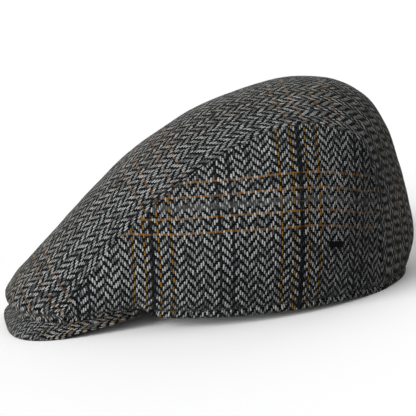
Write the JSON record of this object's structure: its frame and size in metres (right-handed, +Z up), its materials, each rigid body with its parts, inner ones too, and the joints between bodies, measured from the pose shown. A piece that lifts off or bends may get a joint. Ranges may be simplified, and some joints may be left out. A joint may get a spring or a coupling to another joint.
{
  "type": "wool flat cap",
  "caption": "Soft tweed flat cap with a domed top panel drawn down over a short stiff peak, an open head hollow and a turned hem.",
  "frame": {"origin": "on the floor under the middle of the cap's bounding box", "axes": "+Z up, the peak points to -X, the wearer's left is -Y"},
  "size_m": [0.2643, 0.1804, 0.1295],
  "materials": {
    "top_tweed": "grey herringbone wool tweed, warp running front to back",
    "side_tweed": "grey herringbone wool tweed with a fine amber and rust overcheck",
    "peak_tweed": "the same tweed over a stiff board",
    "tag_enamel": "satin black, bare"
  },
  "bodies": {
    "root": {"top_panel": "top_tweed", "side_panel_left": "side_tweed", "side_panel_right": "side_tweed", "peak": "peak_tweed", "side_tag": "tag_enamel"}
  },
  "joints": []
}
